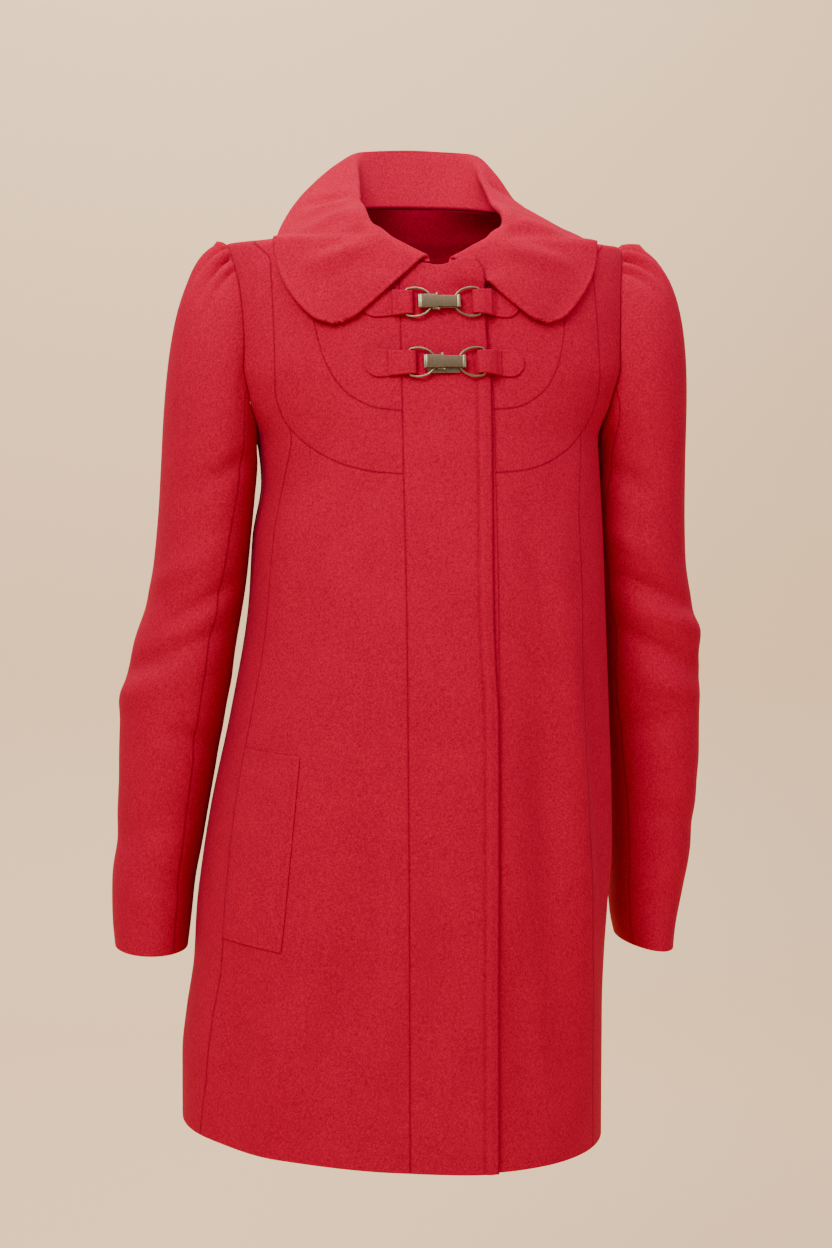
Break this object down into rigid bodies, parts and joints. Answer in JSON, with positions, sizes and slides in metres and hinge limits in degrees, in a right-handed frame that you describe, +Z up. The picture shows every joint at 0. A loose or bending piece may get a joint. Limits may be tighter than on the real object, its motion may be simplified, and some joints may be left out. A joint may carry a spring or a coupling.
{
  "type": "duffle coat",
  "caption": "Worn, hollow short flared red wool duffle coat with a wide rolled collar, curved yokes, long sleeves with pleated heads and a fly front under ring-and-clasp tab fastenings",
  "frame": {"origin": "midway between the two neck points of the shoulder seams, where the coat rests on the wearer's shoulders", "axes": "+Z up; the front faces -Y; +X is the wearer's left"},
  "size_m": [0.5587, 0.3048, 0.9168],
  "materials": {
    "scarlet_wool": "brushed wool felt, matt with a soft nap",
    "antique_brass": "antiqued brass, darker in its hollows"
  },
  "bodies": {
    "root": {"back": "scarlet_wool", "collar": "scarlet_wool", "placket": "scarlet_wool", "fly_layer": "scarlet_wool", "left_underlap": "scarlet_wool", "right_inner_yoke": "scarlet_wool", "right_outer_yoke": "scarlet_wool", "right_front": "scarlet_wool", "right_side_front": "scarlet_wool", "right_sleeve_top": "scarlet_wool", "right_sleeve_under": "scarlet_wool", "left_inner_yoke": "scarlet_wool", "left_outer_yoke": "scarlet_wool", "left_front": "scarlet_wool", "left_side_front": "scarlet_wool", "left_sleeve_top": "scarlet_wool", "left_sleeve_under": "scarlet_wool", "right_pocket_welt": "scarlet_wool", "upper_right_tab": "scarlet_wool", "upper_left_tab": "scarlet_wool", "lower_right_tab": "scarlet_wool", "lower_left_tab": "scarlet_wool", "upper_right_ring": "antique_brass", "upper_left_ring": "antique_brass", "upper_clasp": "antique_brass", "lower_right_ring": "antique_brass", "lower_left_ring": "antique_brass", "lower_clasp": "antique_brass"}
  },
  "joints": []
}
